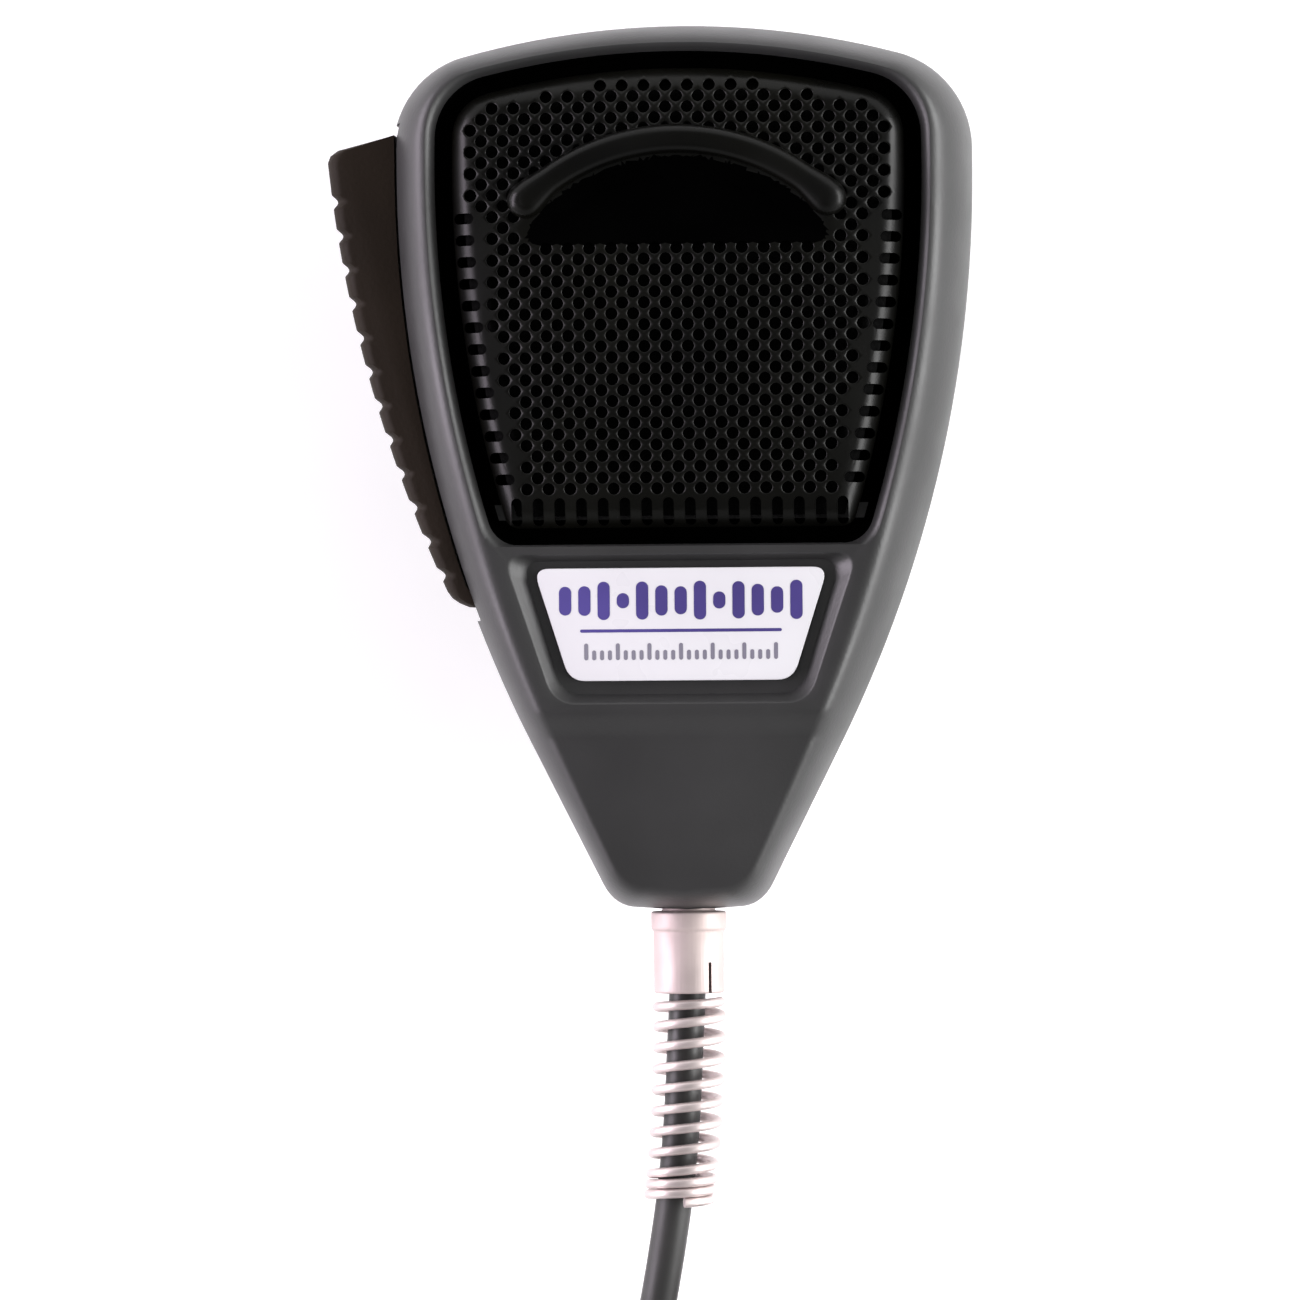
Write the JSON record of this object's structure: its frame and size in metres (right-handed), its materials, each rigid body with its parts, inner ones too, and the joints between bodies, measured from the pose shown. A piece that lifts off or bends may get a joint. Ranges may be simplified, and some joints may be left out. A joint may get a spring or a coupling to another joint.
{
  "type": "hand microphone",
  "caption": "Hand-held push-to-talk microphone with a tapering shell, domed grille, side lever, hang-up button, spring strain relief and a tied curly cord with a round locking plug.",
  "frame": {"origin": "centre of the hang-up button's outer flat face, on the surface that the microphone lies on", "axes": "+Y up the body from the cord to the top of the head, +Z out of the grille, +X to the right of someone looking at the grille"},
  "size_m": [0.0657, 0.3018, 0.0348],
  "materials": {
    "housing_plastic": "satin, finely textured moulded plastic",
    "grille_metal": "satin black enamel",
    "foam": "matt black open-cell foam",
    "nameplate_face": "smooth printed plate",
    "grip_rubber": "matt, faintly brown black",
    "inner_nylon": "plain moulded",
    "bright_nickel": "bright plate",
    "plain_steel": "zinc-plated",
    "contact_brass": "bright",
    "magnet_alloy": "grey, dull",
    "diaphragm_film": "thin amber film",
    "board_laminate": "lacquered green laminate",
    "cord_jacket": "smooth dark grey jacket",
    "wire_red": "insulated wire",
    "wire_black": "insulated wire",
    "wire_white": "insulated wire"
  },
  "bodies": {
    "microphone": {"front_cover": "housing_plastic", "rear_cover": "housing_plastic", "grille_screen": "grille_metal", "lip_guard": "grille_metal", "foam_pad": "foam", "nameplate": "nameplate_face", "capsule_boot": "grip_rubber", "switch_body": "inner_nylon", "cord_clamp": "inner_nylon", "cord_tie": "inner_nylon", "plug_insert": "inner_nylon", "hang_button": "bright_nickel", "strain_ferrule": "bright_nickel", "strain_spring": "bright_nickel", "plug_shell": "bright_nickel", "plug_clamp": "bright_nickel", "cover_screw_1": "plain_steel", "cover_screw_2": "plain_steel", "cover_screw_3": "plain_steel", "hang_button_washer": "plain_steel", "hang_button_nut": "plain_steel", "strain_nut": "plain_steel", "ptt_pivot_pin": "plain_steel", "ptt_return_spring": "plain_steel", "capsule_case": "plain_steel", "capsule_cap": "plain_steel", "capsule_clamp_ring": "plain_steel", "clamp_ring_screw_1": "plain_steel", "clamp_ring_screw_2": "plain_steel", "switch_screw_1": "plain_steel", "switch_screw_2": "plain_steel", "cord_clamp_screw_1": "plain_steel", "cord_clamp_screw_2": "plain_steel", "plug_clamp_screw_1": "plain_steel", "plug_clamp_screw_2": "plain_steel", "switch_terminal_1": "contact_brass", "switch_terminal_2": "contact_brass", "switch_terminal_3": "contact_brass", "voice_coil": "contact_brass", "plug_contact_1": "contact_brass", "plug_contact_2": "contact_brass", "plug_contact_3": "contact_brass", "plug_contact_4": "contact_brass", "capsule_magnet": "magnet_alloy", "bypass_capacitor": "magnet_alloy", "diaphragm": "diaphragm_film", "load_resistor": "diaphragm_film", "circuit_board": "board_laminate", "cord_tail": "cord_jacket", "cord_curl": "cord_jacket", "cord_end": "cord_jacket", "conductor_red": "wire_red", "capsule_lead_1": "wire_red", "conductor_black": "wire_black", "conductor_white": "wire_white", "capsule_lead_2": "wire_white"},
    "ptt_lever": {"ptt_grip": "grip_rubber", "ptt_carrier": "inner_nylon"},
    "ptt_switch_plunger": {"switch_plunger": "inner_nylon"},
    "plug_coupling_ring": {"plug_ring": "bright_nickel"}
  },
  "joints": [
    {"name": "ptt_lever_hinge", "type": "hinge", "parent": "microphone", "child": "ptt_lever", "pos_m": [-0.0184, -0.013, 0.019], "axis": [0, 0, 1], "range_deg": [-5.5, 0], "stiffness_Nm_per_rad": 0.7, "springref_deg": 4.01, "deforming": ["ptt_return_spring"]},
    {"name": "ptt_plunger_slide", "type": "slide", "parent": "microphone", "child": "ptt_switch_plunger", "axis": [1, 0, 0], "range_m": [0, 0.0011]},
    {"name": "plug_ring_spin", "type": "hinge", "parent": "microphone", "child": "plug_coupling_ring", "pos_m": [0.01, -0.0983, 0.0093], "axis": [0, 1, 0], "continuous": true}
  ],
  "couplings": [
    {"joint": "ptt_plunger_slide", "follows": "ptt_lever_hinge", "m_per_rad": -0.0105}
  ]
}
